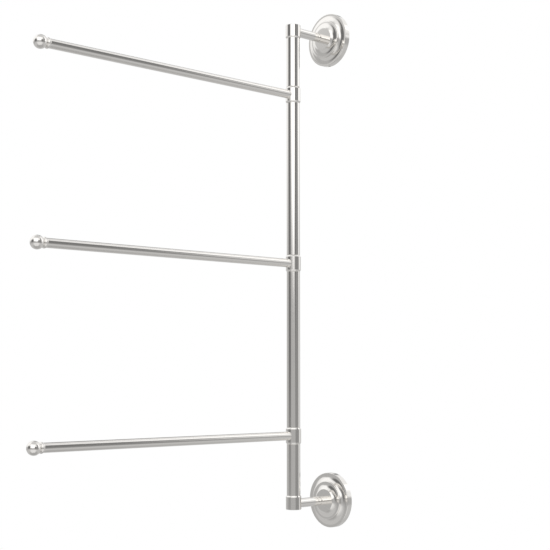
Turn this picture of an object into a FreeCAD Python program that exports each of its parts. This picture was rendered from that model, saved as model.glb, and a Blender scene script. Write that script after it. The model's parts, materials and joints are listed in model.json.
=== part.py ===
import FreeCAD, Part
import math
import os

# Wall-mounted swing arm towel bar, in millimetres. A vertical post stands off the wall on two
# short stems, each screwed to a round stepped flange, and three arms swing about the post.
# The origin is the centre of the lower wall bracket's back face, on the wall. +Z is up, +Y
# points into the wall, and the arms at rest point straight out from it, along -Y.

# Overall sizes
post_length = 685.8          # over both end collars
standoff = 76.5              # wall to post axis
stem_inset = 8.0             # stem axis to the outer end of the end collar
outer_arm_inset = 101.6      # axes of the lowest and highest arm to the post's ends
arm_reach = 415.0            # post axis to the centre of the ball

# Post
post_diameter = 19.05
post_wall = 1.2
collar_diameter = 21.4       # end collars and arm hubs alike
collar_chamfer = 1.1         # radial size of their bevelled edges
collar_chamfer_height = 1.9
end_collar_height = 19.2
end_edge_break = 0.4         # small bevel on the closed end of an end collar
spigot_length = 9.0          # end collar's spigot inside the tube
tie_rod_diameter = 8.0
tie_rod_engagement = 15.0    # thread length inside an end collar, below its shoulder
plug_length = 12.0           # plug that closes and centres a tube's end

# Swivels
hub_height = 22.4
sleeve_diameter = 12.0       # pivot sleeve that the hub turns on
washer_diameter = 18.0
washer_thickness = 0.5
running_clearance = 0.08     # radial, hub bore to sleeve
end_play = 0.1               # hub face to washer

# Arms
arm_diameter = 12.0
arm_wall = 1.2
arm_plug_length = 18.0
arm_stud_length_in_plug = 12.0
stud_diameter = 6.0          # studs and screws that hold arms and stems
hub_web = 1.0                # metal left between a hub's stud hole and its bore

# Ball finial, lengths along the arm from its seat on the tube
ball_diameter = 17.5
finial_length = 11.9         # seat to ball centre
finial_seat_length = 0.6
bead_length = 3.4
bead_swell = 0.95            # how far the bead stands proud of the seat
neck_diameter = 11.2
neck_hollow = 0.2            # depth of the cove between bead and ball
finial_shank_length = 12.0

# Stems
stem_diameter = 12.7
stem_screw_depth = 13.0      # thread depth in the stem at the flange
stem_stud_depth = 9.0        # thread depth in the stem at the end collar
screw_head_diameter = 11.0
screw_head_height = 3.4

# Flange, radii from its axis and heights from the wall
flange_diameter = 77.0
flange_height = 17.0         # wall to the flat disc that carries the stem
rim_height = 8.1             # straight side wall
rim_thickness = 3.0
rim_edge = 0.7               # rounded edge at the top of the side wall
rim_ledge = 0.7              # narrow flat between that edge and the outer cove
tier_diameter = 54.4
tier_height = 13.2
tier_foot_height = 11.2      # where the tier's wall meets the outer cove
tier_lip = 1.4               # radius of the tier's rounded lip
disc_diameter = 31.8
disc_step = 0.4              # low step from the disc down to the inner cove
inner_cove_depth = 1.0       # how far each cove dips below its chord
outer_cove_depth = 1.0
shell_thickness = 2.4

# Wall bracket and set screw
bracket_thickness = 5.0
bracket_clearance = 0.3      # around the bracket, inside the flange
groove_depth = 1.4           # vee groove in the bracket's edge for the set screw
wall_screw_hole = 5.0
wall_screw_countersink = 9.6
wall_screw_spacing = 44.0
set_screw_diameter = 4.0
set_screw_recess = 0.3       # below the flange's side wall

fit_gap = 0.05               # between pieces pressed, brazed or screwed together

# Places that follow from the sizes
post_base = -stem_inset
post_top = post_base + post_length
stem_heights = {"lower": post_base + stem_inset, "upper": post_top - stem_inset}
arm_names = ("lower", "middle", "upper")
arm_spacing = (post_length - 2 * outer_arm_inset) / (len(arm_names) - 1)
arm_heights = [post_base + outer_arm_inset + arm_spacing * index for index in range(len(arm_names))]
post_radius = post_diameter / 2
post_bore_radius = post_radius - post_wall
collar_radius = collar_diameter / 2
collar_face_radius = collar_radius - collar_chamfer
tie_rod_hole_radius = tie_rod_diameter / 2 + fit_gap
sleeve_radius = sleeve_diameter / 2
hub_bore_radius = sleeve_radius + running_clearance
sleeve_length = hub_height + 2 * (washer_thickness + end_play)
arm_radius = arm_diameter / 2
arm_bore_radius = arm_radius - arm_wall
arm_end = arm_reach - finial_length
stud_radius = stud_diameter / 2
stud_hole_radius = stud_radius + fit_gap
ball_radius = ball_diameter / 2
neck_radius = neck_diameter / 2
stem_radius = stem_diameter / 2
flange_radius = flange_diameter / 2
tier_radius = tier_diameter / 2
disc_radius = disc_diameter / 2
flange_bore_radius = flange_radius - rim_thickness
bracket_radius = flange_bore_radius - bracket_clearance
set_screw_radius = set_screw_diameter / 2


class Outline:
    """Half section of a turned piece, drawn edge by edge: radius outwards, height along the axis."""

    def __init__(self, radius, height):
        self.first = FreeCAD.Vector(radius, 0, height)
        self.last = self.first
        self.edges = []

    def line(self, radius, height):
        end = FreeCAD.Vector(radius, 0, height)
        self.edges.append(Part.LineSegment(self.last, end).toShape())
        self.last = end
        return self

    def arc(self, radius, height, bulge):
        """Arc that stands off its chord by bulge, to the right of the way it is drawn."""
        end = FreeCAD.Vector(radius, 0, height)
        chord = end - self.last
        right = FreeCAD.Vector(chord.z, 0, -chord.x).normalize()
        middle = (self.last + end) * 0.5 + right * bulge
        self.edges.append(Part.Arc(self.last, middle, end).toShape())
        self.last = end
        return self

    def arc_about(self, radius, height, centre_radius, centre_height):
        """Arc to a point, round a centre, the short way."""
        end = FreeCAD.Vector(radius, 0, height)
        centre = FreeCAD.Vector(centre_radius, 0, centre_height)
        spoke = end - centre
        first_angle = math.atan2(self.last.z - centre.z, self.last.x - centre.x)
        middle_angle = (first_angle + math.atan2(spoke.z, spoke.x)) / 2
        direction = FreeCAD.Vector(math.cos(middle_angle), 0, math.sin(middle_angle))
        self.edges.append(Part.Arc(self.last, centre + direction * spoke.Length, end).toShape())
        self.last = end
        return self

    def turned(self):
        closing = Part.LineSegment(self.last, self.first).toShape()
        face = Part.Face(Part.Wire(self.edges + [closing]))
        return face.revolve(FreeCAD.Vector(0, 0, 0), FreeCAD.Vector(0, 0, 1), 360)


def rod(radius, start, end):
    """Round bar along the axis from one height to another."""
    return Part.makeCylinder(radius, end - start, FreeCAD.Vector(0, 0, start))


def tube(radius, bore_radius, start, end):
    return rod(radius, start, end).cut(rod(bore_radius, start, end))


def on_post(shape, height):
    """Stand a piece on the post's axis with its own zero at this height."""
    shape.translate(FreeCAD.Vector(0, -standoff, height))
    return shape


def laid_out(shape, distance, height):
    """Lay a piece so that its axis points out from the wall, with its own zero this far from it."""
    shape.rotate(FreeCAD.Vector(0, 0, 0), FreeCAD.Vector(1, 0, 0), 90)
    shape.translate(FreeCAD.Vector(0, -distance, height))
    return shape


def turned_end_for_end(shape):
    """Turn a piece over about the X axis, for the upper end of the post."""
    shape.rotate(FreeCAD.Vector(0, 0, 0), FreeCAD.Vector(1, 0, 0), 180)
    return shape


def save(name, shape):
    shape.exportStep(os.path.join("parts", name + ".step"))


def collar_cylinder(height):
    """The round face of a collar, a little full, that a coped bar end is cut to."""
    return on_post(rod(collar_radius + fit_gap, -collar_diameter, collar_diameter), height)


def flange_body():
    """Hollow turned shell: a straight rim, then a cove up to a round lip and another up to a flat disc."""
    rim_start = rim_height - rim_edge
    rim_top_radius = flange_radius - rim_edge
    lip_height = tier_height - tier_lip
    lip_radius = tier_radius - tier_lip
    disc_back = flange_height - shell_thickness
    tier_back = tier_height - shell_thickness
    foot_back = tier_foot_height - shell_thickness
    rim_back = rim_height - shell_thickness
    tier_bore_radius = tier_radius - shell_thickness
    section = Outline(flange_bore_radius, 0)
    section.line(flange_radius, 0)
    section.line(flange_radius, rim_start)
    section.arc_about(rim_top_radius, rim_height, rim_top_radius, rim_start)
    section.line(rim_top_radius - rim_ledge, rim_height)
    section.arc(tier_radius, tier_foot_height, -outer_cove_depth)
    section.line(tier_radius, lip_height)
    section.arc_about(lip_radius, tier_height, lip_radius, lip_height)
    section.arc(disc_radius, flange_height - disc_step, -inner_cove_depth)
    section.line(disc_radius, flange_height)
    section.line(stud_hole_radius, flange_height)
    section.line(stud_hole_radius, disc_back)
    section.line(disc_radius - shell_thickness, disc_back)
    section.arc(tier_bore_radius, tier_back, inner_cove_depth)
    section.line(tier_bore_radius, foot_back)
    section.arc(flange_bore_radius, rim_back, outer_cove_depth)
    return section.turned()


def set_screw_hole():
    """Radial hole through the underside of the rim, level with the groove in the bracket."""
    centre = FreeCAD.Vector(0, -flange_radius, bracket_thickness / 2)
    return Part.makeCylinder(set_screw_radius + fit_gap, rim_thickness * 2, centre, FreeCAD.Vector(0, 1, 0))


def flange(height):
    return laid_out(flange_body().cut(set_screw_hole()), 0, height)


def wall_bracket(height):
    """Round plate screwed to the wall; the flange slips over it and is held by the set screw."""
    middle = bracket_thickness / 2
    section = Outline(0, 0)
    section.line(bracket_radius, 0)
    section.line(bracket_radius, middle - groove_depth)
    section.line(bracket_radius - groove_depth, middle)
    section.line(bracket_radius, middle + groove_depth)
    section.line(bracket_radius, bracket_thickness)
    section.line(0, bracket_thickness)
    plate = section.turned()
    hole_radius = wall_screw_hole / 2
    sink_radius = wall_screw_countersink / 2
    sink_depth = sink_radius - hole_radius
    for side in (-1, 1):
        offset = FreeCAD.Vector(0, side * wall_screw_spacing / 2, 0)
        hole = rod(hole_radius, 0, bracket_thickness)
        sink = Part.makeCone(hole_radius, sink_radius, sink_depth)
        sink.translate(FreeCAD.Vector(0, 0, bracket_thickness - sink_depth))
        hole.translate(offset)
        sink.translate(offset)
        plate = plate.cut(hole).cut(sink)
    return laid_out(plate, 0, height)


def flange_set_screw(height):
    """Cone-point grub screw, drawn upright from its tip in the groove and set radially."""
    tip_height = bracket_radius - groove_depth + fit_gap
    shoulder_height = tip_height + set_screw_radius
    end_height = flange_radius - set_screw_recess
    section = Outline(0, tip_height)
    section.line(set_screw_radius, shoulder_height)
    section.line(set_screw_radius, end_height)
    section.line(0, end_height)
    screw = section.turned()
    screw.rotate(FreeCAD.Vector(0, 0, 0), FreeCAD.Vector(1, 0, 0), 90)
    screw.translate(FreeCAD.Vector(0, 0, bracket_thickness / 2))
    return laid_out(screw, 0, height)


def stem(height):
    """Short bar from the flange's disc to the end collar, coped to the collar and tapped at both ends."""
    bar = rod(stem_radius, flange_height, standoff)
    bar = bar.cut(rod(stud_hole_radius, flange_height, flange_height + stem_screw_depth + fit_gap))
    stud_hole_start = standoff - collar_radius - stem_stud_depth - fit_gap
    bar = bar.cut(rod(stud_hole_radius, stud_hole_start, standoff))
    return laid_out(bar, 0, height).cut(collar_cylinder(height))


def stem_screw(height):
    """Screw from behind the flange's disc into the stem, with its domed head in the hollow."""
    head_top = flange_height - shell_thickness
    head_radius = screw_head_diameter / 2
    section = Outline(0, head_top - screw_head_height)
    section.arc(head_radius, head_top - screw_head_height / 2, screw_head_height / 4)
    section.line(head_radius, head_top)
    section.line(stud_radius, head_top)
    section.line(stud_radius, flange_height + stem_screw_depth)
    section.line(0, flange_height + stem_screw_depth)
    return laid_out(section.turned(), 0, height)


def stem_stud(height):
    """Headless stud that joins the stem to the end collar and bears on the tie rod."""
    start = standoff - collar_radius - stem_stud_depth
    end = standoff - tie_rod_hole_radius - fit_gap
    return laid_out(rod(stud_radius, start, end), 0, height)


def end_collar():
    """Closed collar with a spigot for the tube, drawn from its outer end at zero."""
    shoulder = end_collar_height
    spigot_radius = post_bore_radius - fit_gap
    spigot_end = shoulder + spigot_length
    hole_end = shoulder - tie_rod_engagement
    section = Outline(0, 0)
    section.line(collar_radius - end_edge_break, 0)
    section.line(collar_radius, end_edge_break)
    section.line(collar_radius, shoulder - collar_chamfer_height)
    section.line(collar_face_radius, shoulder)
    section.line(spigot_radius, shoulder)
    section.line(spigot_radius, spigot_end)
    section.line(tie_rod_hole_radius, spigot_end)
    section.line(tie_rod_hole_radius, hole_end)
    section.line(0, hole_end)
    return section.turned()


def placed_end_collar(end_name):
    height = stem_heights[end_name]
    stud_hole = laid_out(rod(stud_hole_radius, standoff - collar_diameter, standoff), 0, height)
    if end_name == "lower":
        body = on_post(end_collar(), post_base)
    else:
        body = on_post(turned_end_for_end(end_collar()), post_top)
    return body.cut(stud_hole)


def tie_rod():
    """Rod through the whole post that pulls the end collars, tubes and sleeves together."""
    start = post_base + end_collar_height - tie_rod_engagement + fit_gap
    end = post_top - end_collar_height + tie_rod_engagement - fit_gap
    return on_post(rod(tie_rod_diameter / 2, start, end), 0)


def post_tube_spans():
    """Lower and upper height of each length of post tube, from the bottom up."""
    starts = [post_base + end_collar_height]
    ends = []
    for height in arm_heights:
        ends.append(height - sleeve_length / 2)
        starts.append(height + sleeve_length / 2)
    ends.append(post_top - end_collar_height)
    return list(zip(starts, ends))


def post_tube(start, end):
    return on_post(tube(post_radius, post_bore_radius, start, end), 0)


def tube_plug(start, end):
    return on_post(tube(post_bore_radius - fit_gap, tie_rod_hole_radius, start, end), 0)


def tube_plugs():
    """The plugs, from the bottom up: one in each tube end that meets a swivel."""
    plugs = []
    for height in arm_heights:
        below = height - sleeve_length / 2
        above = height + sleeve_length / 2
        plugs.append(tube_plug(below - plug_length, below))
        plugs.append(tube_plug(above, above + plug_length))
    return plugs


def pivot_sleeve(height):
    """Sleeve clamped between two tube ends, a little longer than the hub that turns on it."""
    half = sleeve_length / 2
    return on_post(tube(sleeve_radius, tie_rod_hole_radius, -half, half), height)


def hub_washers(height):
    """One thin washer on the tube below the hub and one under the tube above it."""
    half = sleeve_length / 2
    bore = sleeve_radius + fit_gap
    radius = washer_diameter / 2
    below = on_post(tube(radius, bore, -half, washer_thickness - half), height)
    above = on_post(tube(radius, bore, half - washer_thickness, half), height)
    return Part.makeCompound([below, above])


def arm_hub(height):
    """Collar with a bevel at both ends that turns on its sleeve, tapped at the front for the arm."""
    half = hub_height / 2
    section = Outline(hub_bore_radius, -half)
    section.line(collar_face_radius, -half)
    section.line(collar_radius, collar_chamfer_height - half)
    section.line(collar_radius, half - collar_chamfer_height)
    section.line(collar_face_radius, half)
    section.line(hub_bore_radius, half)
    stud_hole = rod(stud_hole_radius, hub_bore_radius + hub_web, collar_diameter)
    body = on_post(section.turned(), height)
    return body.cut(laid_out(stud_hole, standoff, height))


def arm_tube(height):
    """Tube of the arm, coped to the hub's round face at its root."""
    bar = laid_out(rod(arm_radius, 0, arm_end), standoff, height)
    bore = laid_out(rod(arm_bore_radius, 0, arm_end), standoff, height)
    return bar.cut(bore).cut(collar_cylinder(height))


def arm_root_plug(height):
    """Tapped plug inside the tube's root, flush with the hub."""
    start = collar_radius + fit_gap
    plug = tube(arm_bore_radius - fit_gap, stud_hole_radius, start, start + arm_plug_length)
    return laid_out(plug, standoff, height)


def arm_stud(height):
    start = hub_bore_radius + hub_web + fit_gap
    end = collar_radius + arm_stud_length_in_plug
    return laid_out(rod(stud_radius, start, end), standoff, height)


def arm_tip_plug(height):
    """Tapped plug flush with the tube's outer end, for the finial's shank."""
    plug = tube(arm_bore_radius - fit_gap, stud_hole_radius, arm_end - arm_plug_length, arm_end)
    return laid_out(plug, standoff, height)


def ball_finial(height):
    """Turned in one piece: threaded shank, seat, bead, coved neck and ball."""
    bead_end = finial_seat_length + bead_length
    ball_start = finial_length - math.sqrt(ball_radius ** 2 - neck_radius ** 2)
    section = Outline(0, -finial_shank_length)
    section.line(stud_radius, -finial_shank_length)
    section.line(stud_radius, 0)
    section.line(arm_radius, 0)
    section.line(arm_radius, finial_seat_length)
    section.arc(neck_radius, bead_end, bead_swell + (arm_radius - neck_radius) / 2)
    section.arc(neck_radius, ball_start, -neck_hollow)
    section.arc_about(0, finial_length + ball_radius, 0, finial_length)
    return laid_out(section.turned(), standoff + arm_end, height)


def make_wall_ends():
    for end_name, height in stem_heights.items():
        save(end_name + "_flange", flange(height))
        save(end_name + "_wall_bracket", wall_bracket(height))
        save(end_name + "_flange_set_screw", flange_set_screw(height))
        save(end_name + "_stem", stem(height))
        save(end_name + "_stem_screw", stem_screw(height))
        save(end_name + "_stem_stud", stem_stud(height))
        save(end_name + "_end_collar", placed_end_collar(end_name))


def make_post():
    save("tie_rod", tie_rod())
    for number, (start, end) in enumerate(post_tube_spans(), 1):
        save("post_tube_%d" % number, post_tube(start, end))
    for number, plug in enumerate(tube_plugs(), 1):
        save("tube_plug_%d" % number, plug)


def make_arms():
    for arm_name, height in zip(arm_names, arm_heights):
        save(arm_name + "_pivot_sleeve", pivot_sleeve(height))
        save(arm_name + "_hub_washers", hub_washers(height))
        save(arm_name + "_arm_hub", arm_hub(height))
        save(arm_name + "_arm_stud", arm_stud(height))
        save(arm_name + "_arm_root_plug", arm_root_plug(height))
        save(arm_name + "_arm_tube", arm_tube(height))
        save(arm_name + "_arm_tip_plug", arm_tip_plug(height))
        save(arm_name + "_ball_finial", ball_finial(height))


os.makedirs("parts", exist_ok=True)
make_wall_ends()
make_post()
make_arms()
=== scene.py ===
import json
import math
from typing import NamedTuple

import bmesh
import bpy
from bpy.props import FloatProperty, FloatVectorProperty, IntProperty, PointerProperty
from mathutils import Matrix, Vector


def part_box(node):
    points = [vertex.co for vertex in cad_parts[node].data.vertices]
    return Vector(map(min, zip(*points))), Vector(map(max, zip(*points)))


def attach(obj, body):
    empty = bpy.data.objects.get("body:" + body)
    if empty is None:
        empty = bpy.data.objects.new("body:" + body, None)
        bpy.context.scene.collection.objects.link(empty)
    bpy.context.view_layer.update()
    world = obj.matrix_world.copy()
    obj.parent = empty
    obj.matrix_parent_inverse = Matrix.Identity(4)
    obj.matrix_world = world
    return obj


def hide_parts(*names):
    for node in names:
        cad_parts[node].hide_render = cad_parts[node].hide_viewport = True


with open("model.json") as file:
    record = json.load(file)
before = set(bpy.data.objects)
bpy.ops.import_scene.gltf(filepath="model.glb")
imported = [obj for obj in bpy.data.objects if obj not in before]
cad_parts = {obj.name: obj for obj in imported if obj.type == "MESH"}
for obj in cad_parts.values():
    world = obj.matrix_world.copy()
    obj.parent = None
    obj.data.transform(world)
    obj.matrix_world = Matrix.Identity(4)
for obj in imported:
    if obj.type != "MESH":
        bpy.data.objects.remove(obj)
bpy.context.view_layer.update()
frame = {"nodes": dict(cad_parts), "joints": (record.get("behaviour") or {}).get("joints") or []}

bl_info = {
    "name": "Swing Arm Towel Bar",
    "version": (1, 0, 0),
    "blender": (4, 5, 0),
    "location": "3D View > Sidebar > Towel Bar",
    "description": "Dresses the frame of a wall-mounted swing arm towel bar in satin chrome",
    "category": "Object",
}

# Lengths are metres. The wall lies at y = 0, +Z is up, and the arms at rest point out along -Y.
# Turned pieces are drawn as half sections: a radius and a height along the piece's own axis.

MM = 0.001
ENDS = ("lower", "upper")
ARMS = ("lower", "middle", "upper")
WALL_BODY = "wall_frame"
CHROME_SLOT = "satin_chrome"

FIT_GAP = 0.05 * MM             # between pieces that are pressed or screwed together
RUNNING_CLEARANCE = 0.08 * MM   # between an arm hub and the sleeve that it turns on


def low(node):
    """Lowest corner of a frame node's box."""
    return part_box(node)[0]


def high(node):
    """Highest corner of a frame node's box."""
    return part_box(node)[1]


# Measured on the frame
swivel = {joint["child"]: Vector(joint["pos_m"]) for joint in frame["joints"]}
arm_height = {arm: swivel[arm + "_arm"].z for arm in ARMS}
post_y = swivel["lower_arm"].y
stem_height = {end: (low(end + "_flange").z + high(end + "_flange").z) / 2 for end in ENDS}
post_radius = high("post_tube_2").x
collar_radius = high("lower_arm_hub").x
hub_length = high("lower_arm_hub").z - low("lower_arm_hub").z
arm_radius = high("lower_arm_tube").x
arm_end = post_y - low("lower_arm_tube").y
ball_end = post_y - low("lower_ball_finial").y
ball_radius = (high("lower_ball_finial").x - low("lower_ball_finial").x) / 2
shank_end = post_y - high("lower_ball_finial").y
stem_radius = high("lower_stem").x
stem_reach = high("lower_stem").y - post_y
flange_radius = high("lower_flange").x
disc_height = -low("lower_flange").y
sleeve_length = high("lower_pivot_sleeve").z - low("lower_pivot_sleeve").z


def length(name, description, default):
    return FloatProperty(
        name=name, description=description, default=default, min=0.0, unit="LENGTH", precision=5)


def share(name, description, default):
    return FloatProperty(name=name, description=description, default=default, min=0.0, max=1.0)


def tone(name, description, default):
    return FloatProperty(name=name, description=description, default=default, min=0.0, max=3.0)


def colour(name, description, default):
    return FloatVectorProperty(
        name=name, description=description, subtype="COLOR", size=3, min=0.0, max=1.0, default=default)


class FlangeSizes(bpy.types.PropertyGroup):
    """The round stepped flange, with heights from the wall"""

    wall: length("Wall", "Thickness of the shell behind the coves and the disc", 2.4 * MM)
    rim_height: length("Rim height", "Straight side wall at the wall", 8.1 * MM)
    rim_thickness: length("Rim thickness", "Thickness of the side wall", 3.0 * MM)
    rim_edge: length("Rim edge", "Rounded edge at the top of the side wall", 0.7 * MM)
    rim_ledge: length("Rim ledge", "Narrow flat between that edge and the outer cove", 0.7 * MM)
    tier_radius: length("Tier radius", "Radius of the inner tier", 27.2 * MM)
    tier_height: length("Tier height", "Wall to the top of the tier's lip", 13.2 * MM)
    tier_foot: length("Tier foot", "Height where the tier's wall meets the outer cove", 11.2 * MM)
    tier_lip: length("Tier lip", "Radius of the tier's rounded lip", 1.4 * MM)
    disc_radius: length("Disc radius", "Radius of the flat disc", 15.9 * MM)
    disc_step: length("Disc step", "Low step from the disc to the inner cove", 0.4 * MM)
    cove_depth: length("Cove depth", "How far each cove dips below its chord", 1.0 * MM)


class CollarSizes(bpy.types.PropertyGroup):
    """The arm hubs, the end collars and the tubes between them"""

    bevel: length("Bevel", "Radial size of the bevelled edges", 1.1 * MM)
    bevel_height: length("Bevel height", "Axial size of the bevelled edges", 1.9 * MM)
    bevel_edge: length("Bevel edge", "Radius where a bevel meets the round face", 0.2 * MM)
    closed_edge: length("Closed edge", "Bevel on the closed end of an end collar", 0.4 * MM)
    corner: length("Corner", "Radius that polishing leaves on every corner", 0.14 * MM)
    tube_wall: length("Tube wall", "Wall of the post tubes and arm tubes", 1.2 * MM)


class FinialSizes(bpy.types.PropertyGroup):
    """The ball finial, with lengths from its seat on the arm tube"""

    seat: length("Seat", "Straight seat at the tube's end", 0.6 * MM)
    bead: length("Bead", "Length of the bead", 3.4 * MM)
    bead_swell: length("Bead swell", "How far the bead stands proud of the seat", 0.95 * MM)
    neck_radius: length("Neck radius", "Radius where the cove meets the bead and the ball", 5.6 * MM)
    neck_hollow: length("Neck hollow", "Depth of the cove", 0.2 * MM)
    shank_radius: length("Shank radius", "Radius of the threaded shank", 3.0 * MM)


class FastenerSizes(bpy.types.PropertyGroup):
    """The flanges' set screws and the washers beside the hubs"""

    screw_chamfer: length("Screw chamfer", "Bevel at the screw's outer end", 0.3 * MM)
    socket_depth: length("Socket depth", "Depth of the six-sided socket", 2.2 * MM)
    socket_share: share("Socket", "Corner radius of the socket as a share of the screw's", 0.58)
    washer: length("Washer", "Thickness of a washer", 0.5 * MM)
    washer_edge: length("Washer edge", "Rounded outer edges of a washer", 0.1 * MM)


class FinishSettings(bpy.types.PropertyGroup):
    """Colours and surface of the metals and the nylon"""

    chrome: colour("Chrome", "Satin chrome, on all that shows", (0.875, 0.855, 0.826))
    chrome_roughness: share("Chrome roughness", "Softness of its reflections", 0.09)
    line_spacing: length("Line spacing", "Typical distance between the fine polishing lines", 0.18 * MM)
    line_depth: length("Line depth", "Depth of the polishing lines", 0.0006 * MM)
    brass: colour("Brass", "Turned brass plugs and sleeves inside", (0.78, 0.60, 0.33))
    brass_roughness: share("Brass roughness", "Softness of its reflections", 0.28)
    zinc: colour("Zinc", "Plated steel tie rod, studs, stem screws and brackets", (0.62, 0.62, 0.60))
    zinc_roughness: share("Zinc roughness", "Softness of its reflections", 0.34)
    mark_spacing: length("Mark spacing", "Typical distance between tool marks inside", 0.3 * MM)
    mark_depth: length("Mark depth", "Depth of the tool marks", 0.003 * MM)
    nylon_light: colour("Light nylon", "Palest colour of the washers", (0.88, 0.87, 0.84))
    nylon_dark: colour("Dark nylon", "Darkest colour of the washers", (0.80, 0.79, 0.75))


class StageSettings(bpy.types.PropertyGroup):
    """Camera, floor and the tones of the studio that the metal reflects"""

    eye: FloatVectorProperty(
        name="Eye", description="Where the camera stands", subtype="TRANSLATION", size=3,
        default=(1.22826, -1.23162, 0.18140))
    yaw: FloatProperty(
        name="Yaw", description="Turn of the view to the left of straight at the wall",
        subtype="ANGLE", default=math.radians(47.636))
    pitch: FloatProperty(
        name="Pitch", description="Tilt of the view above the horizon",
        subtype="ANGLE", default=math.radians(4.655))
    lens: FloatProperty(name="Lens", description="Focal length in millimetres", default=78.43)
    floor_drop: length("Floor drop", "Floor below the lower stem", 1.0)
    floor_size: length("Floor size", "Side of the square floor", 8.0)
    floor_tone: tone("Floor", "White of the floor", 1.0)
    room_tone: tone("Room", "Walls of the studio", 0.97)
    ceiling_tone: tone("Ceiling", "Far overhead", 0.68)
    ground_tone: tone("Ground", "The studio's floor in the metal", 0.58)
    underside_tone: tone("Underside", "The ground straight below the object", 0.44)
    bounce_tone: tone("Bounce", "Lit part of the ground in front on the right", 0.86)
    horizon_tone: tone("Horizon", "Low band where the ground ends", 0.47)
    near_wall_tone: tone("Near wall", "Low band beside the wall that carries the object", 0.68)
    key_tone: tone("Key", "Large soft box in front on the right", 1.26)
    core_tone: tone("Core", "Bright middle of that soft box", 1.62)
    side_box_tone: tone("Side box", "Soft box on the left", 1.12)
    strip_tone: tone("Strip", "Narrow soft box beside the wall", 1.35)
    low_strip_tone: tone("Low strip", "Its dimmer lower end", 0.98)
    flag_tone: tone("Flag", "Dark flag in front", 0.17)
    low_flag_tone: tone("Low flag", "Lower left part of the dark flag", 0.48)
    side_flag_tone: tone("Side flag", "Dark flag on the right", 0.3)
    side_core_tone: tone("Side core", "Its darkest part", 0.12)
    high_flag_tone: tone("High flag", "Dark flag above the side flag's far end", 0.2)
    wall_flag_tone: tone("Wall flag", "Dark flag beside the wall on the left", 0.3)


SECTIONS = (
    ("flange", FlangeSizes), ("collar", CollarSizes), ("finial", FinialSizes),
    ("fastener", FastenerSizes), ("finish", FinishSettings), ("stage", StageSettings),
)


class TowelBarSettings(bpy.types.PropertyGroup):
    """All sizes and colours of the towel bar"""

    ring_segments: IntProperty(
        name="Ring segments", description="Facets round a turned piece", default=128, min=16)
    corner_steps: IntProperty(
        name="Corner steps", description="Points round a polished corner", default=3, min=1)
    flange: PointerProperty(type=FlangeSizes)
    collar: PointerProperty(type=CollarSizes)
    finial: PointerProperty(type=FinialSizes)
    fastener: PointerProperty(type=FastenerSizes)
    finish: PointerProperty(type=FinishSettings)
    stage: PointerProperty(type=StageSettings)


def settings():
    return bpy.context.scene.towel_bar


# Node trees


class Number:
    """A number in a node tree. Python's operators on it add Math nodes."""

    def __init__(self, nodes, socket):
        self.nodes = nodes
        self.socket = socket

    def maths(self, operation, *others):
        return self.nodes.maths(operation, self, *others)

    def __add__(self, other):
        return self.maths("ADD", other)

    def __sub__(self, other):
        return self.maths("SUBTRACT", other)

    def __mul__(self, other):
        return self.maths("MULTIPLY", other)

    def __truediv__(self, other):
        return self.maths("DIVIDE", other)

    def __rsub__(self, other):
        return self.nodes.maths("SUBTRACT", other, self)

    __radd__ = __add__
    __rmul__ = __mul__

    def root(self):
        return self.maths("SQRT")

    def at_least(self, other):
        return self.maths("MAXIMUM", other)

    def at_most(self, other):
        return self.maths("MINIMUM", other)


class Nodes:
    """Adds nodes to one tree: a type, then its settings, then its sockets as values or links."""

    def __init__(self, tree):
        self.tree = tree

    def add(self, kind, choices=None, sockets=None):
        node = self.tree.nodes.new(kind)
        for name, value in (choices or {}).items():
            setattr(node, name, value)
        for name, value in (sockets or {}).items():
            source = value.socket if isinstance(value, Number) else value
            if isinstance(source, bpy.types.NodeSocket):
                self.tree.links.new(source, node.inputs[name])
            else:
                node.inputs[name].default_value = source
        return node

    def number(self, node, output):
        return Number(self, node.outputs[output])

    def maths(self, operation, *values):
        """Number worked out by a Math node."""
        node = self.add("ShaderNodeMath", {"operation": operation}, dict(enumerate(values)))
        return self.number(node, "Value")

    def split(self, vector):
        parts = self.add("ShaderNodeSeparateXYZ", sockets={"Vector": vector})
        return [self.number(parts, axis) for axis in "XYZ"]

    def join(self, x, y, z):
        return self.add("ShaderNodeCombineXYZ", sockets={"X": x, "Y": y, "Z": z}).outputs["Vector"]


# The lathe's inputs, each with its kind and default
TURNING_INPUTS = (
    ("Outline", "NodeSocketGeometry", None),
    ("Ring Segments", "NodeSocketInt", 128),
    ("Corner Steps", "NodeSocketInt", 3),
    ("Cope Radius", "NodeSocketFloat", 0.0),
    ("Cope Reach", "NodeSocketFloat", 20 * MM),
    ("Tilt", "NodeSocketFloat", 0.0),
    ("Place", "NodeSocketVector", (0.0, 0.0, 0.0)),
    ("Copies", "NodeSocketInt", 1),
    ("Copy Spacing", "NodeSocketFloat", 0.0),
    ("Finish", "NodeSocketMaterial", None),
)
SPINDLE_RADIUS = 1.0 * MM        # of the circle that carries the outline round; it cancels out
POLE_GAP = 0.0001 * MM           # points nearer than this are one point


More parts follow.
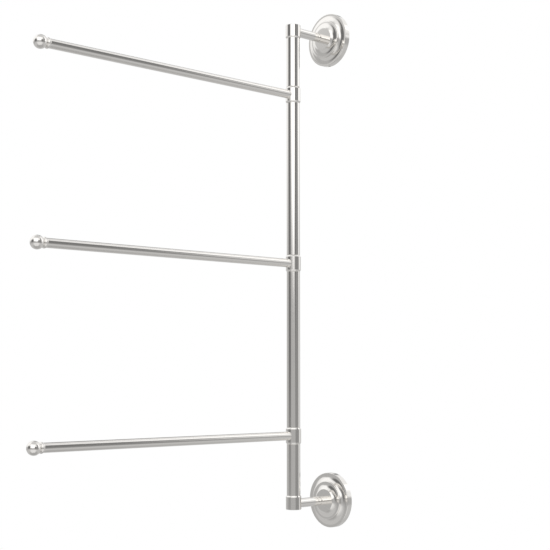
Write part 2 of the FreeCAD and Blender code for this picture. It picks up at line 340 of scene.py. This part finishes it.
def turning_tree():
    """The lathe: rounds an outline's corners, turns it about Z, copes its start and repeats it."""
    tree = bpy.data.node_groups.new("turned_piece", "GeometryNodeTree")
    for name, kind, default in TURNING_INPUTS:
        socket = tree.interface.new_socket(name, in_out="INPUT", socket_type=kind)
        if default is not None:
            socket.default_value = default
    tree.interface.new_socket("Piece", in_out="OUTPUT", socket_type="NodeSocketGeometry")
    nodes = Nodes(tree)
    given = nodes.add("NodeGroupInput").outputs

    corner = nodes.add("GeometryNodeInputNamedAttribute", {"data_type": "FLOAT"}, {"Name": "corner"})
    section = nodes.add("GeometryNodeMeshToCurve", sockets={"Mesh": given["Outline"]})
    rounded = nodes.add("GeometryNodeFilletCurve", {"mode": "POLY"}, {
        "Curve": section.outputs["Curve"], "Count": given["Corner Steps"],
        "Radius": corner.outputs["Attribute"], "Limit Radius": True})
    upright = nodes.add("GeometryNodeTransform", sockets={
        "Geometry": rounded.outputs["Curve"],
        "Translation": (-SPINDLE_RADIUS, 0, 0), "Scale": (1, -1, 1)})
    circle = nodes.add("GeometryNodeCurvePrimitiveCircle", {"mode": "RADIUS"}, {
        "Resolution": given["Ring Segments"], "Radius": SPINDLE_RADIUS})
    spindle = nodes.add("GeometryNodeSetCurveNormal", {"mode": "Z_UP"}, {
        "Curve": circle.outputs["Curve"]})
    swept = nodes.add("GeometryNodeCurveToMesh", sockets={
        "Curve": spindle.outputs["Curve"], "Profile Curve": upright.outputs["Geometry"]})
    closed = nodes.add("GeometryNodeMergeByDistance", sockets={
        "Geometry": swept.outputs["Mesh"], "Distance": POLE_GAP})

    x, y, z = nodes.split(nodes.add("GeometryNodeInputPosition").outputs["Position"])
    cope_radius = nodes.number(nodes.add("NodeReroute", sockets={0: given["Cope Radius"]}), 0)
    cope_reach = nodes.number(nodes.add("NodeReroute", sockets={0: given["Cope Reach"]}), 0)
    sagitta = cope_radius - (cope_radius * cope_radius - x * x).at_least(0.0).root()
    fade = (1.0 - (z - cope_radius) / cope_reach).at_least(0.0).at_most(1.0)
    coped = nodes.add("GeometryNodeSetPosition", sockets={
        "Geometry": closed.outputs["Geometry"], "Offset": nodes.join(0.0, 0.0, 0.0 - sagitta * fade)})

    laid = nodes.add("GeometryNodeTransform", sockets={
        "Geometry": coped.outputs["Geometry"], "Translation": given["Place"],
        "Rotation": nodes.join(given["Tilt"], 0.0, 0.0)})
    row = nodes.add("GeometryNodeMeshLine", sockets={
        "Count": given["Copies"], "Offset": nodes.join(0.0, 0.0, given["Copy Spacing"])})
    repeated = nodes.add("GeometryNodeInstanceOnPoints", sockets={
        "Points": row.outputs["Mesh"], "Instance": laid.outputs["Geometry"]})
    real = nodes.add("GeometryNodeRealizeInstances", sockets={
        "Geometry": repeated.outputs["Instances"]})
    smooth = nodes.add("GeometryNodeSetShadeSmooth", sockets={"Geometry": real.outputs["Geometry"]})
    finished = nodes.add("GeometryNodeSetMaterial", sockets={
        "Geometry": smooth.outputs["Geometry"], "Material": given["Finish"]})
    nodes.add("NodeGroupOutput", sockets={"Piece": finished.outputs["Geometry"]})
    return tree


# Outlines and pieces

ARC_STEP = math.radians(4.0)     # of a drawn arc
SMOOTH_ANGLE = math.radians(35.0)


class Outline:
    """Closed half section of a turned piece, drawn corner by corner: radius, height, corner radius."""

    def __init__(self, radius, height, corner=0.0):
        self.points = [(radius, height, corner)]

    def to(self, radius, height, corner=0.0):
        self.points.append((radius, height, corner))
        return self

    def about(self, radius, height, centre_radius, centre_height):
        """Arc to a point, round a centre, the short way."""
        last_radius, last_height = self.points[-1][:2]
        first_angle = math.atan2(last_height - centre_height, last_radius - centre_radius)
        last_angle = math.atan2(height - centre_height, radius - centre_radius)
        sweep = math.remainder(last_angle - first_angle, 2 * math.pi)
        arc_radius = math.hypot(radius - centre_radius, height - centre_height)
        steps = max(2, math.ceil(abs(sweep) / ARC_STEP))
        for step in range(1, steps):
            angle = first_angle + sweep * step / steps
            across, up = arc_radius * math.cos(angle), arc_radius * math.sin(angle)
            self.to(centre_radius + across, centre_height + up)
        return self.to(radius, height)

    def arc(self, radius, height, bulge):
        """Arc that stands off its chord by bulge, to the right of the way it is drawn."""
        last_radius, last_height = self.points[-1][:2]
        run, rise = radius - last_radius, height - last_height
        chord = math.hypot(run, rise)
        arc_radius = (chord * chord / 4 + bulge * bulge) / (2 * bulge)
        offset = bulge - arc_radius
        centre_radius = (radius + last_radius) / 2 + offset * rise / chord
        centre_height = (height + last_height) / 2 - offset * run / chord
        return self.about(radius, height, centre_radius, centre_height)


def ring(radius, bore, start, end, corner=0.0):
    """Outline of a plain length of tube."""
    return Outline(bore, start).to(radius, start, corner).to(radius, end, corner).to(bore, end)


def outline_mesh(outlines):
    """Outlines as edges. One that starts and ends on the axis needs no closing edge."""
    points, edges = [], []
    for outline in outlines:
        first, count = len(points), len(outline.points)
        solid = outline.points[0][0] == 0 and outline.points[-1][0] == 0
        points += outline.points
        edges += [(first + index, first + (index + 1) % count) for index in range(count - solid)]
    mesh = bpy.data.meshes.new("outline")
    mesh.from_pydata([(radius, height, 0.0) for radius, height, corner in points], edges, [])
    corners = mesh.attributes.new("corner", "FLOAT", "POINT")
    corners.data.foreach_set("value", [corner for radius, height, corner in points])
    return mesh


def added(name, mesh):
    piece = bpy.data.objects.new(name, mesh)
    bpy.context.scene.collection.objects.link(piece)
    return piece


CUTTER_OVERRUN = 5 * MM          # how far a cutter stands out of the piece that it cuts


def cutter(sides, radius, mouth, depth):
    """Round or many-sided bar, to cut a hole that goes straight up from its mouth."""
    middle = mouth + Vector((0, 0, (depth - CUTTER_OVERRUN) / 2))
    builder = bmesh.new()
    bmesh.ops.create_cone(
        builder, cap_ends=True, segments=sides, radius1=radius, radius2=radius,
        depth=depth + CUTTER_OVERRUN, matrix=Matrix.Translation(middle))
    mesh = bpy.data.meshes.new("cutter")
    builder.to_mesh(mesh)
    builder.free()
    return added("cutter", mesh)


def close_and_turn_outwards(name, mesh):
    """A turned piece is a closed solid whose faces point outwards."""
    builder = bmesh.new()
    builder.from_mesh(mesh)
    bmesh.ops.recalc_face_normals(builder, faces=builder.faces)
    open_edges = sum(not edge.is_manifold for edge in builder.edges)
    volume = builder.calc_volume(signed=True)
    builder.to_mesh(mesh)
    builder.free()
    if open_edges or volume <= 0:
        raise RuntimeError("%s has %d open edges and a volume of %g" % (name, open_edges, volume))


def turned(name, outlines, finish, cutters=(), **inputs):
    """One piece turned from its outlines. Inputs are those of the lathe, such as tilt and place."""
    source = added(name + "_outline", outline_mesh(outlines))
    lathe = source.modifiers.new("lathe", "NODES")
    lathe.node_group = bpy.data.node_groups.get("turned_piece") or turning_tree()
    values = {
        "Ring Segments": settings().ring_segments,
        "Corner Steps": settings().corner_steps,
        "Finish": finish,
    }
    values.update({words.replace("_", " ").title(): value for words, value in inputs.items()})
    for socket in lathe.node_group.interface.items_tree:
        if socket.in_out == "INPUT" and socket.name in values:
            lathe[socket.identifier] = values[socket.name]
    for bar in cutters:
        cut = source.modifiers.new("cut", "BOOLEAN")
        cut.operation = "DIFFERENCE"
        cut.solver = "EXACT"
        cut.object = bar
    evaluated = source.evaluated_get(bpy.context.evaluated_depsgraph_get())
    mesh = bpy.data.meshes.new_from_object(evaluated)
    for helper in (source, *cutters):
        bpy.data.objects.remove(helper)
    mesh.name = name
    close_and_turn_outwards(name, mesh)
    mesh.set_sharp_from_angle(angle=SMOOTH_ANGLE)
    piece = added(name, mesh)
    piece.modifiers.new("even_shading", "WEIGHTED_NORMAL").keep_sharp = True
    return piece


def fit(piece, body, slot, *nodes):
    """Fasten a finished piece to its body, in place of the frame's plain nodes."""
    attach(piece, body)
    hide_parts(*nodes)


OUT_FROM_WALL = math.radians(90.0)      # tilt that lays an axis along -Y
TOWARDS_WALL = math.radians(-90.0)      # tilt that lays an axis along +Y


# Finishes


def fresh_material(name):
    material = bpy.data.materials.new(name)
    material.use_nodes = True
    material.node_tree.nodes.clear()
    return material, Nodes(material.node_tree)


def mixed(nodes, factor, first, second):
    """Colour between two colours. The numbers are those of the Mix node's colour sockets."""
    mix = nodes.add("ShaderNodeMix", {"data_type": "RGBA"}, {0: factor, 6: first, 7: second})
    return mix.outputs[2]


def opaque(shade, brightness=1.0):
    return tuple(part * brightness for part in shade) + (1.0,)


def noise(nodes, vector, detail=2.0, rough=0.5):
    texture = nodes.add("ShaderNodeTexNoise", sockets={
        "Vector": vector, "Scale": 1.0, "Detail": detail, "Roughness": rough})
    return nodes.number(texture, "Fac")


def evenly(nodes, x, y, z, per_metre):
    """Noise that is alike in every direction."""
    return noise(nodes, nodes.join(x * per_metre, y * per_metre, z * per_metre), detail=3.0)


# The polishing lines run round a piece, so the way across them is the way along its axis.


def across_post(x, y, z):
    return z


def across_arm(x, y, z):
    return y


def across_flange(x, y, z):
    """Distance from the nearer flange's axis, less the height from the wall."""
    radii = [(x * x + (z - height) * (z - height)).root() for height in stem_height.values()]
    return radii[0].at_most(radii[1]) + y


# Unevenness of a turned and polished surface, in changes per metre
LINE_FADES = 60.0       # along the lines
BAND_FADES = 20.0       # along the bands of lines
BAND_DRIFT = 3.0        # of the bands with height
BAND_RATE = 0.04        # across the bands, as a share of the lines' rate
CLOUDS = 45.0           # cloudy patches

# What it does to the roughness, the colour and the relief
CLOUD_SWING = 0.05
LINE_SWING = 0.04
BAND_SWING = 0.03
DULLEST = 0.965         # share of the metal's colour
BAND_RELIEF = 0.8       # share of the lines' depth


def satin_metal(name, shade, roughness, across, spacing, depth):
    """Metal with fine polishing lines and a slightly uneven sheen."""
    material, nodes = fresh_material(name)
    x, y, z = nodes.split(nodes.add("ShaderNodeTexCoord").outputs["Object"])
    line = across(x, y, z) / spacing
    line_place = nodes.join(line, (x + y + z) * LINE_FADES, (x - y) * LINE_FADES)
    lines = noise(nodes, line_place, detail=3.0, rough=0.6)
    band_place = nodes.join(line * BAND_RATE, x * BAND_FADES, y * BAND_FADES + z * BAND_DRIFT)
    bands = noise(nodes, band_place)
    clouds = evenly(nodes, x, y, z, CLOUDS)
    tint = mixed(nodes, clouds * 0.5 + lines * 0.5, opaque(shade, DULLEST), opaque(shade))
    uneven = (clouds - 0.5) * CLOUD_SWING + (lines - 0.5) * LINE_SWING + (bands - 0.5) * BAND_SWING
    relief = nodes.add("ShaderNodeBump", sockets={
        "Strength": 1.0, "Distance": depth, "Height": lines + bands * BAND_RELIEF})
    surface = nodes.add("ShaderNodeBsdfPrincipled", sockets={
        "Base Color": tint, "Metallic": 1.0, "Roughness": uneven + roughness,
        "Normal": relief.outputs["Normal"]})
    nodes.add("ShaderNodeOutputMaterial", sockets={"Surface": surface.outputs["BSDF"]})
    return material


def chrome(across):
    """The satin chrome whose polishing lines run round the post, an arm or a flange."""
    name = "satin_chrome_" + across.__name__
    finish = settings().finish
    return bpy.data.materials.get(name) or satin_metal(
        name, finish.chrome, finish.chrome_roughness, across, finish.line_spacing, finish.line_depth)


# Pieces


SMALL_RING = 48         # facets round a screw or its hole
WASHER_RING = 96        # facets round a washer


class TOWELBAR_OT_flanges(bpy.types.Operator):
    """Make both stepped flanges"""

    bl_idname = "towelbar.flanges"
    bl_label = "Flanges"

    HOLE_DEPTH = 10 * MM        # through the rim

    def execute(self, context):
        for end in ENDS:
            screw = end + "_flange_set_screw"
            screw_y = (low(screw).y + high(screw).y) / 2
            mouth = Vector((0, screw_y, stem_height[end] - flange_radius))
            hole = cutter(SMALL_RING, high(screw).x + FIT_GAP, mouth, self.HOLE_DEPTH)
            piece = turned(
                end + "_flange_turned", [self.outline()], chrome(across_flange), [hole],
                tilt=OUT_FROM_WALL, place=(0.0, 0.0, stem_height[end]))
            fit(piece, WALL_BODY, CHROME_SLOT, end + "_flange")
        return {"FINISHED"}

    def outline(self):
        """Straight rim, a cove up to the tier, a cove from its lip to the disc, and the hollow back."""
        sizes = settings().flange
        corner = settings().collar.corner
        rim_top_radius = flange_radius - sizes.rim_edge
        rim_start = sizes.rim_height - sizes.rim_edge
        lip_radius = sizes.tier_radius - sizes.tier_lip
        lip_start = sizes.tier_height - sizes.tier_lip
        inner_radius = flange_radius - sizes.rim_thickness
        tier_bore = sizes.tier_radius - sizes.wall
        bore = high("lower_stem_stud").x + FIT_GAP
        shape = Outline(inner_radius, 0)
        shape.to(flange_radius, 0, corner)
        shape.to(flange_radius, rim_start)
        shape.about(rim_top_radius, sizes.rim_height, rim_top_radius, rim_start)
        shape.to(rim_top_radius - sizes.rim_ledge, sizes.rim_height)
        shape.arc(sizes.tier_radius, sizes.tier_foot, -sizes.cove_depth)
        shape.to(sizes.tier_radius, lip_start)
        shape.about(lip_radius, sizes.tier_height, lip_radius, lip_start)
        shape.arc(sizes.disc_radius, disc_height - sizes.disc_step, -sizes.cove_depth)
        shape.to(sizes.disc_radius, disc_height, corner)
        shape.to(bore, disc_height)
        shape.to(bore, disc_height - sizes.wall)
        shape.to(sizes.disc_radius - sizes.wall, disc_height - sizes.wall)
        shape.arc(tier_bore, sizes.tier_height - sizes.wall, sizes.cove_depth)
        shape.to(tier_bore, sizes.tier_foot - sizes.wall)
        return shape.arc(inner_radius, sizes.rim_height - sizes.wall, sizes.cove_depth)


class TOWELBAR_OT_set_screws(bpy.types.Operator):
    """Make the socket screws under the flanges"""

    bl_idname = "towelbar.set_screws"
    bl_label = "Set screws"

    def execute(self, context):
        sizes = settings().fastener
        for end in ENDS:
            screw = end + "_flange_set_screw"
            radius = (high(screw).x - low(screw).x) / 2
            middle_y = (low(screw).y + high(screw).y) / 2
            head, tip = low(screw).z - stem_height[end], high(screw).z - stem_height[end]
            shape = Outline(0, head).to(radius - sizes.screw_chamfer, head)
            shape.to(radius, head + sizes.screw_chamfer).to(radius, tip - radius).to(0, tip)
            mouth = Vector((0, middle_y, low(screw).z))
            socket = cutter(6, radius * sizes.socket_share, mouth, sizes.socket_depth)
            piece = turned(
                end + "_flange_set_screw_turned", [shape], chrome(across_post), [socket],
                ring_segments=SMALL_RING, place=(0.0, middle_y, stem_height[end]))
            fit(piece, WALL_BODY, "zinc_plated_steel", screw)
        return {"FINISHED"}


class TOWELBAR_OT_stems(bpy.types.Operator):
    """Make the short bars between the flanges and the post"""

    bl_idname = "towelbar.stems"
    bl_label = "Stems"

    def execute(self, context):
        corner = settings().collar.corner
        for end in ENDS:
            shape = Outline(0, collar_radius).to(stem_radius, collar_radius, corner)
            shape.to(stem_radius, stem_reach, corner).to(0, stem_reach)
            piece = turned(
                end + "_stem_coped", [shape], chrome(across_arm), cope_radius=collar_radius,
                tilt=TOWARDS_WALL, place=(0.0, post_y, stem_height[end]))
            fit(piece, WALL_BODY, CHROME_SLOT, end + "_stem")
        return {"FINISHED"}


class TOWELBAR_OT_end_collars(bpy.types.Operator):
    """Make the closed collars at the post's two ends"""

    bl_idname = "towelbar.end_collars"
    bl_label = "End collars"

    def execute(self, context):
        sizes = settings().collar
        shoulder = low("post_tube_1").z - low("lower_end_collar").z
        spigot_end = high("lower_end_collar").z - low("lower_end_collar").z
        spigot_radius = post_radius - sizes.tube_wall - FIT_GAP
        for end in ENDS:
            shape = Outline(0, 0).to(collar_radius - sizes.closed_edge, 0, sizes.corner)
            shape.to(collar_radius, sizes.closed_edge, sizes.corner)
            shape.to(collar_radius, shoulder - sizes.bevel_height, sizes.bevel_edge)
            shape.to(collar_radius - sizes.bevel, shoulder, sizes.corner)
            shape.to(spigot_radius, shoulder).to(spigot_radius, spigot_end).to(0, spigot_end)
            node = end + "_end_collar"
            upside_down = end == "upper"
            piece = turned(
                node + "_turned", [shape], chrome(across_post), tilt=math.pi if upside_down else 0.0,
                place=(0.0, post_y, high(node).z if upside_down else low(node).z))
            fit(piece, WALL_BODY, CHROME_SLOT, node)
        return {"FINISHED"}


class TOWELBAR_OT_post_tubes(bpy.types.Operator):
    """Make the four lengths of post tube"""

    bl_idname = "towelbar.post_tubes"
    bl_label = "Post tubes"

    def execute(self, context):
        sizes = settings().collar
        nodes = ["post_tube_%d" % number for number in range(1, len(ARMS) + 2)]
        shapes = [
            ring(post_radius, post_radius - sizes.tube_wall, low(node).z, high(node).z, sizes.corner)
            for node in nodes]
        piece = turned("post_tubes_turned", shapes, chrome(across_post), place=(0.0, post_y, 0.0))
        fit(piece, WALL_BODY, CHROME_SLOT, *nodes)
        return {"FINISHED"}


class TOWELBAR_OT_hub_washers(bpy.types.Operator):
    """Make the thin washers above and below each arm hub"""

    bl_idname = "towelbar.hub_washers"
    bl_label = "Hub washers"

    def execute(self, context):
        sizes = settings().fastener
        radius = high("lower_hub_washers").x
        bore = high("lower_pivot_sleeve").x + FIT_GAP
        half = sleeve_length / 2
        shapes = [
            ring(radius, bore, start, start + sizes.washer, sizes.washer_edge)
            for start in (-half, half - sizes.washer)]
        piece = turned(
            "hub_washers_turned", shapes, nylon(), ring_segments=WASHER_RING,
            place=(0.0, post_y, arm_height["lower"]), copies=len(ARMS),
            copy_spacing=arm_height["middle"] - arm_height["lower"])
        fit(piece, WALL_BODY, "washer_nylon", *[arm + "_hub_washers" for arm in ARMS])
        return {"FINISHED"}


class TOWELBAR_OT_arm_hubs(bpy.types.Operator):
    """Make the collar that carries each arm"""

    bl_idname = "towelbar.arm_hubs"
    bl_label = "Arm hubs"

    def execute(self, context):
        sizes = settings().collar
        half = hub_length / 2
        face = collar_radius - sizes.bevel
        bore = high("lower_pivot_sleeve").x + RUNNING_CLEARANCE
        for arm in ARMS:
            shape = Outline(bore, -half).to(face, -half, sizes.corner)
            shape.to(collar_radius, sizes.bevel_height - half, sizes.bevel_edge)
            shape.to(collar_radius, half - sizes.bevel_height, sizes.bevel_edge)
            shape.to(face, half, sizes.corner).to(bore, half)
            piece = turned(
                arm + "_arm_hub_turned", [shape], chrome(across_post),
                place=(0.0, post_y, arm_height[arm]))
            fit(piece, arm + "_arm", CHROME_SLOT, arm + "_arm_hub")
        return {"FINISHED"}


class TOWELBAR_OT_arm_tubes(bpy.types.Operator):
    """Make the three arm tubes, coped to their hubs"""

    bl_idname = "towelbar.arm_tubes"
    bl_label = "Arm tubes"

    def execute(self, context):
        sizes = settings().collar
        for arm in ARMS:
            shape = ring(arm_radius, arm_radius - sizes.tube_wall, collar_radius, arm_end, sizes.corner)
            piece = turned(
                arm + "_arm_tube_coped", [shape], chrome(across_arm), cope_radius=collar_radius,
                tilt=OUT_FROM_WALL, place=(0.0, post_y, arm_height[arm]))
            fit(piece, arm + "_arm", CHROME_SLOT, arm + "_arm_tube")
        return {"FINISHED"}


class TOWELBAR_OT_ball_finials(bpy.types.Operator):
    """Make the ball finial at the end of each arm"""

    bl_idname = "towelbar.ball_finials"
    bl_label = "Ball finials"

    def execute(self, context):
        sizes = settings().finial
        corner = settings().collar.corner
        centre = ball_end - ball_radius
        seat_end = arm_end + sizes.seat
        bead_end = seat_end + sizes.bead
        bead_bulge = sizes.bead_swell + (arm_radius - sizes.neck_radius) / 2
        ball_start = centre - math.sqrt(ball_radius ** 2 - sizes.neck_radius ** 2)
        for arm in ARMS:
            shape = Outline(0, shank_end).to(sizes.shank_radius, shank_end, corner)
            shape.to(sizes.shank_radius, arm_end).to(arm_radius, arm_end, corner)
            shape.to(arm_radius, seat_end)
            shape.arc(sizes.neck_radius, bead_end, bead_bulge)
            shape.arc(sizes.neck_radius, ball_start, -sizes.neck_hollow)
            shape.about(0, ball_end, 0, centre)
            piece = turned(
                arm + "_ball_finial_turned", [shape], chrome(across_arm),
                tilt=OUT_FROM_WALL, place=(0.0, post_y, arm_height[arm]))
            fit(piece, arm + "_arm", CHROME_SLOT, arm + "_ball_finial")
        return {"FINISHED"}


NYLON_GRAIN = 900.0         # specks per metre
NYLON_RELIEF = 0.01 * MM


def nylon():
    """Natural nylon with a faint mottle."""
    material, nodes = fresh_material("washer_nylon_moulded")
    x, y, z = nodes.split(nodes.add("ShaderNodeTexCoord").outputs["Object"])
    grain = evenly(nodes, x, y, z, NYLON_GRAIN)
    finish = settings().finish
    tint = mixed(nodes, grain, opaque(finish.nylon_dark), opaque(finish.nylon_light))
    relief = nodes.add("ShaderNodeBump", sockets={"Distance": NYLON_RELIEF, "Height": grain})
    surface = nodes.add("ShaderNodeBsdfPrincipled", sockets={
        "Base Color": tint, "Roughness": grain * 0.2 + 0.4, "Normal": relief.outputs["Normal"]})
    nodes.add("ShaderNodeOutputMaterial", sockets={"Surface": surface.outputs["BSDF"]})
    return material


class TOWELBAR_OT_inner_parts(bpy.types.Operator):
    """Finish the plugs, studs, sleeves, screws and brackets inside"""

    bl_idname = "towelbar.inner_parts"
    bl_label = "Inner parts"

    def execute(self, context):
        finish = settings().finish
        metals = {
            "plain_brass": (finish.brass, finish.brass_roughness),
            "zinc_plated_steel": (finish.zinc, finish.zinc_roughness),
        }
        finishes = {
            slot: satin_metal(
                slot + "_machined", *metal, across_post, finish.mark_spacing, finish.mark_depth)
            for slot, metal in metals.items()}
        for node in frame["nodes"].values():
            for index, material in enumerate(node.data.materials):
                if material.name in finishes and not node.hide_render:
                    node.data.materials[index] = finishes[material.name]
        return {"FINISHED"}


# Stage


class StudioPart(NamedTuple):
    """A wall, soft box or flag round the object. Everything but its tone is in degrees."""

    tone: str           # its name in the stage's settings
    azimuth: float      # of its middle, from straight out (-Y) towards +X
    half_width: float
    bottom: float       # elevations
    top: float
    soft_sides: float   # widths of its soft edges
    soft_ends: float


ALL_ROUND = 180         # half width of a part without sides
NO_BOTTOM = -120        # past straight down, where no edge shows
NO_TOP = 120

# What the metal sees round it. Each part lies over those before it.
STUDIO = (
    StudioPart("ground_tone", 0, ALL_ROUND, NO_BOTTOM, -1, 10, 14),
    StudioPart("underside_tone", 0, ALL_ROUND, NO_BOTTOM, -49, 10, 16),
    StudioPart("bounce_tone", 50, 50, -68, -18, 30, 12),
    StudioPart("horizon_tone", 31, 117, -14, 8, 13, 7),
    StudioPart("near_wall_tone", -154, 43, -12, 10, 20, 8),
    StudioPart("ceiling_tone", 0, ALL_ROUND, 59, NO_TOP, 10, 15),
    StudioPart("side_box_tone", -64, 26, 20, 60, 12, 10),
    StudioPart("key_tone", 40, 45, 10, 62, 12, 7),
    StudioPart("core_tone", 49, 15, 6, 25, 10, 6),
    StudioPart("low_strip_tone", 151, 5, -16, 10, 4, 8),
    StudioPart("strip_tone", 152, 8, 7, 46, 4, 6),
    StudioPart("wall_flag_tone", -132, 15, 20, 50, 8, 9),
    StudioPart("flag_tone", -18, 23, -5, 30, 11, 11),
    StudioPart("low_flag_tone", -46, 7, -8, 17, 5, 8),
    StudioPart("side_flag_tone", 104, 27, -16, 7, 9, 8),
    StudioPart("side_flag_tone", 97, 20, 3, 25, 8, 8),
    StudioPart("side_core_tone", 87, 7, 1, 20, 5, 6),
    StudioPart("high_flag_tone", 121, 8, 2, 22, 5, 8),
    StudioPart("high_flag_tone", 125, 11, 18, 51, 5, 8),
)


def soft_edge(nodes, angle, edge, softness, falls=False):
    """Share that rises from 0 to 1 at an edge, or falls. The edge and its softness are in degrees."""
    first, last = math.radians(edge - softness / 2), math.radians(edge + softness / 2)
    if falls:
        first, last = last, first
    ramp = nodes.add("ShaderNodeMapRange", {"clamp": True}, {
        "Value": angle, "From Min": first, "From Max": last})
    return nodes.number(ramp, "Result")


def studio_tone(nodes, tones):
    """Tone of the studio in each direction."""
    x, y, z = nodes.split(nodes.add("ShaderNodeTexCoord").outputs["Generated"])
    azimuth = x.maths("ARCTAN2", 0.0 - y)
    elevation = z.maths("ARCSINE")
    seen = tones.room_tone
    for part in STUDIO:
        covered = soft_edge(nodes, elevation, part.bottom, part.soft_ends)
        covered = covered * soft_edge(nodes, elevation, part.top, part.soft_ends, falls=True)
        if part.half_width < ALL_ROUND:
            turn = azimuth - math.radians(part.azimuth)
            away = turn.maths("WRAP", math.pi, -math.pi).maths("ABSOLUTE")
            covered = covered * soft_edge(nodes, away, part.half_width, part.soft_sides, falls=True)
        seen = seen + (getattr(tones, part.tone) - seen) * covered
    return seen


SENSOR_WIDTH = 36.0             # of the camera, in millimetres
WHITE = (1.0, 1.0, 1.0)


class TOWELBAR_OT_stage(bpy.types.Operator):
    """Make the camera, the floor and the studio's light"""

    bl_idname = "towelbar.stage"
    bl_label = "Stage"

    def execute(self, context):
        stage = settings().stage
        context.scene.view_settings.view_transform = "Standard"
        lens = bpy.data.cameras.new("camera")
        lens.lens = stage.lens
        lens.sensor_width = SENSOR_WIDTH
        lens.sensor_fit = "HORIZONTAL"
        camera = added("camera", lens)
        camera.location = stage.eye
        camera.rotation_euler = (math.radians(90.0) + stage.pitch, 0.0, stage.yaw)
        context.scene.camera = camera
        self.light(context.scene, stage)
        self.floor(stage)
        return {"FINISHED"}

    def light(self, scene, stage):
        """Plain white light and background; the metal sees the studio."""
        world = bpy.data.worlds.new("studio")
        world.use_nodes = True
        world.node_tree.nodes.clear()
        nodes = Nodes(world.node_tree)
        plain = nodes.add("ShaderNodeBackground", sockets={"Color": opaque(WHITE)})
        studio = nodes.add("ShaderNodeBackground", sockets={
            "Color": opaque(WHITE), "Strength": studio_tone(nodes, stage)})
        path = nodes.add("ShaderNodeLightPath")
        chosen = nodes.add("ShaderNodeMixShader", sockets={
            0: path.outputs["Is Glossy Ray"], 1: plain.outputs["Background"],
            2: studio.outputs["Background"]})
        nodes.add("ShaderNodeOutputWorld", sockets={"Surface": chosen.outputs["Shader"]})
        scene.world = world

    def floor(self, stage):
        """White floor. The metal sees the studio's ground in its place."""
        reach = stage.floor_size / 2
        level = -stage.floor_drop
        corners = [(-reach, -reach), (reach, -reach), (reach, reach), (-reach, reach)]
        mesh = bpy.data.meshes.new("floor")
        mesh.from_pydata([(x, y, level) for x, y in corners], [], [(0, 1, 2, 3)])
        material, nodes = fresh_material("floor_white")
        surface = nodes.add("ShaderNodeBsdfDiffuse", sockets={"Color": opaque(WHITE, stage.floor_tone)})
        nodes.add("ShaderNodeOutputMaterial", sockets={"Surface": surface.outputs["BSDF"]})
        mesh.materials.append(material)
        sheet = added("floor", mesh)
        sheet.visible_glossy = False


OPERATORS = (
    TOWELBAR_OT_flanges, TOWELBAR_OT_set_screws, TOWELBAR_OT_stems, TOWELBAR_OT_end_collars,
    TOWELBAR_OT_post_tubes, TOWELBAR_OT_hub_washers, TOWELBAR_OT_arm_hubs, TOWELBAR_OT_arm_tubes,
    TOWELBAR_OT_ball_finials, TOWELBAR_OT_inner_parts, TOWELBAR_OT_stage,
)


class TOWELBAR_PT_sidebar(bpy.types.Panel):
    """Sizes, colours and pieces of the towel bar"""

    bl_idname = "TOWELBAR_PT_sidebar"
    bl_label = "Towel Bar"
    bl_space_type = "VIEW_3D"
    bl_region_type = "UI"
    bl_category = "Towel Bar"

    def draw(self, context):
        chosen = context.scene.towel_bar
        self.layout.prop(chosen, "ring_segments")
        self.layout.prop(chosen, "corner_steps")
        for name, group in SECTIONS:
            box = self.layout.box()
            box.label(text=name.title())
            for field in group.__annotations__:
                box.prop(getattr(chosen, name), field)
        for operator in OPERATORS:
            self.layout.operator(operator.bl_idname)


CLASSES = (*(group for name, group in SECTIONS), TowelBarSettings, *OPERATORS, TOWELBAR_PT_sidebar)


def register():
    for item in CLASSES:
        bpy.utils.register_class(item)
    bpy.types.Scene.towel_bar = PointerProperty(type=TowelBarSettings)


def unregister():
    del bpy.types.Scene.towel_bar
    for item in reversed(CLASSES):
        bpy.utils.unregister_class(item)


def main():
    register()
    for operator in OPERATORS:
        group, name = operator.bl_idname.split(".")
        getattr(getattr(bpy.ops, group), name)()


if __name__ == "__main__":
    main()
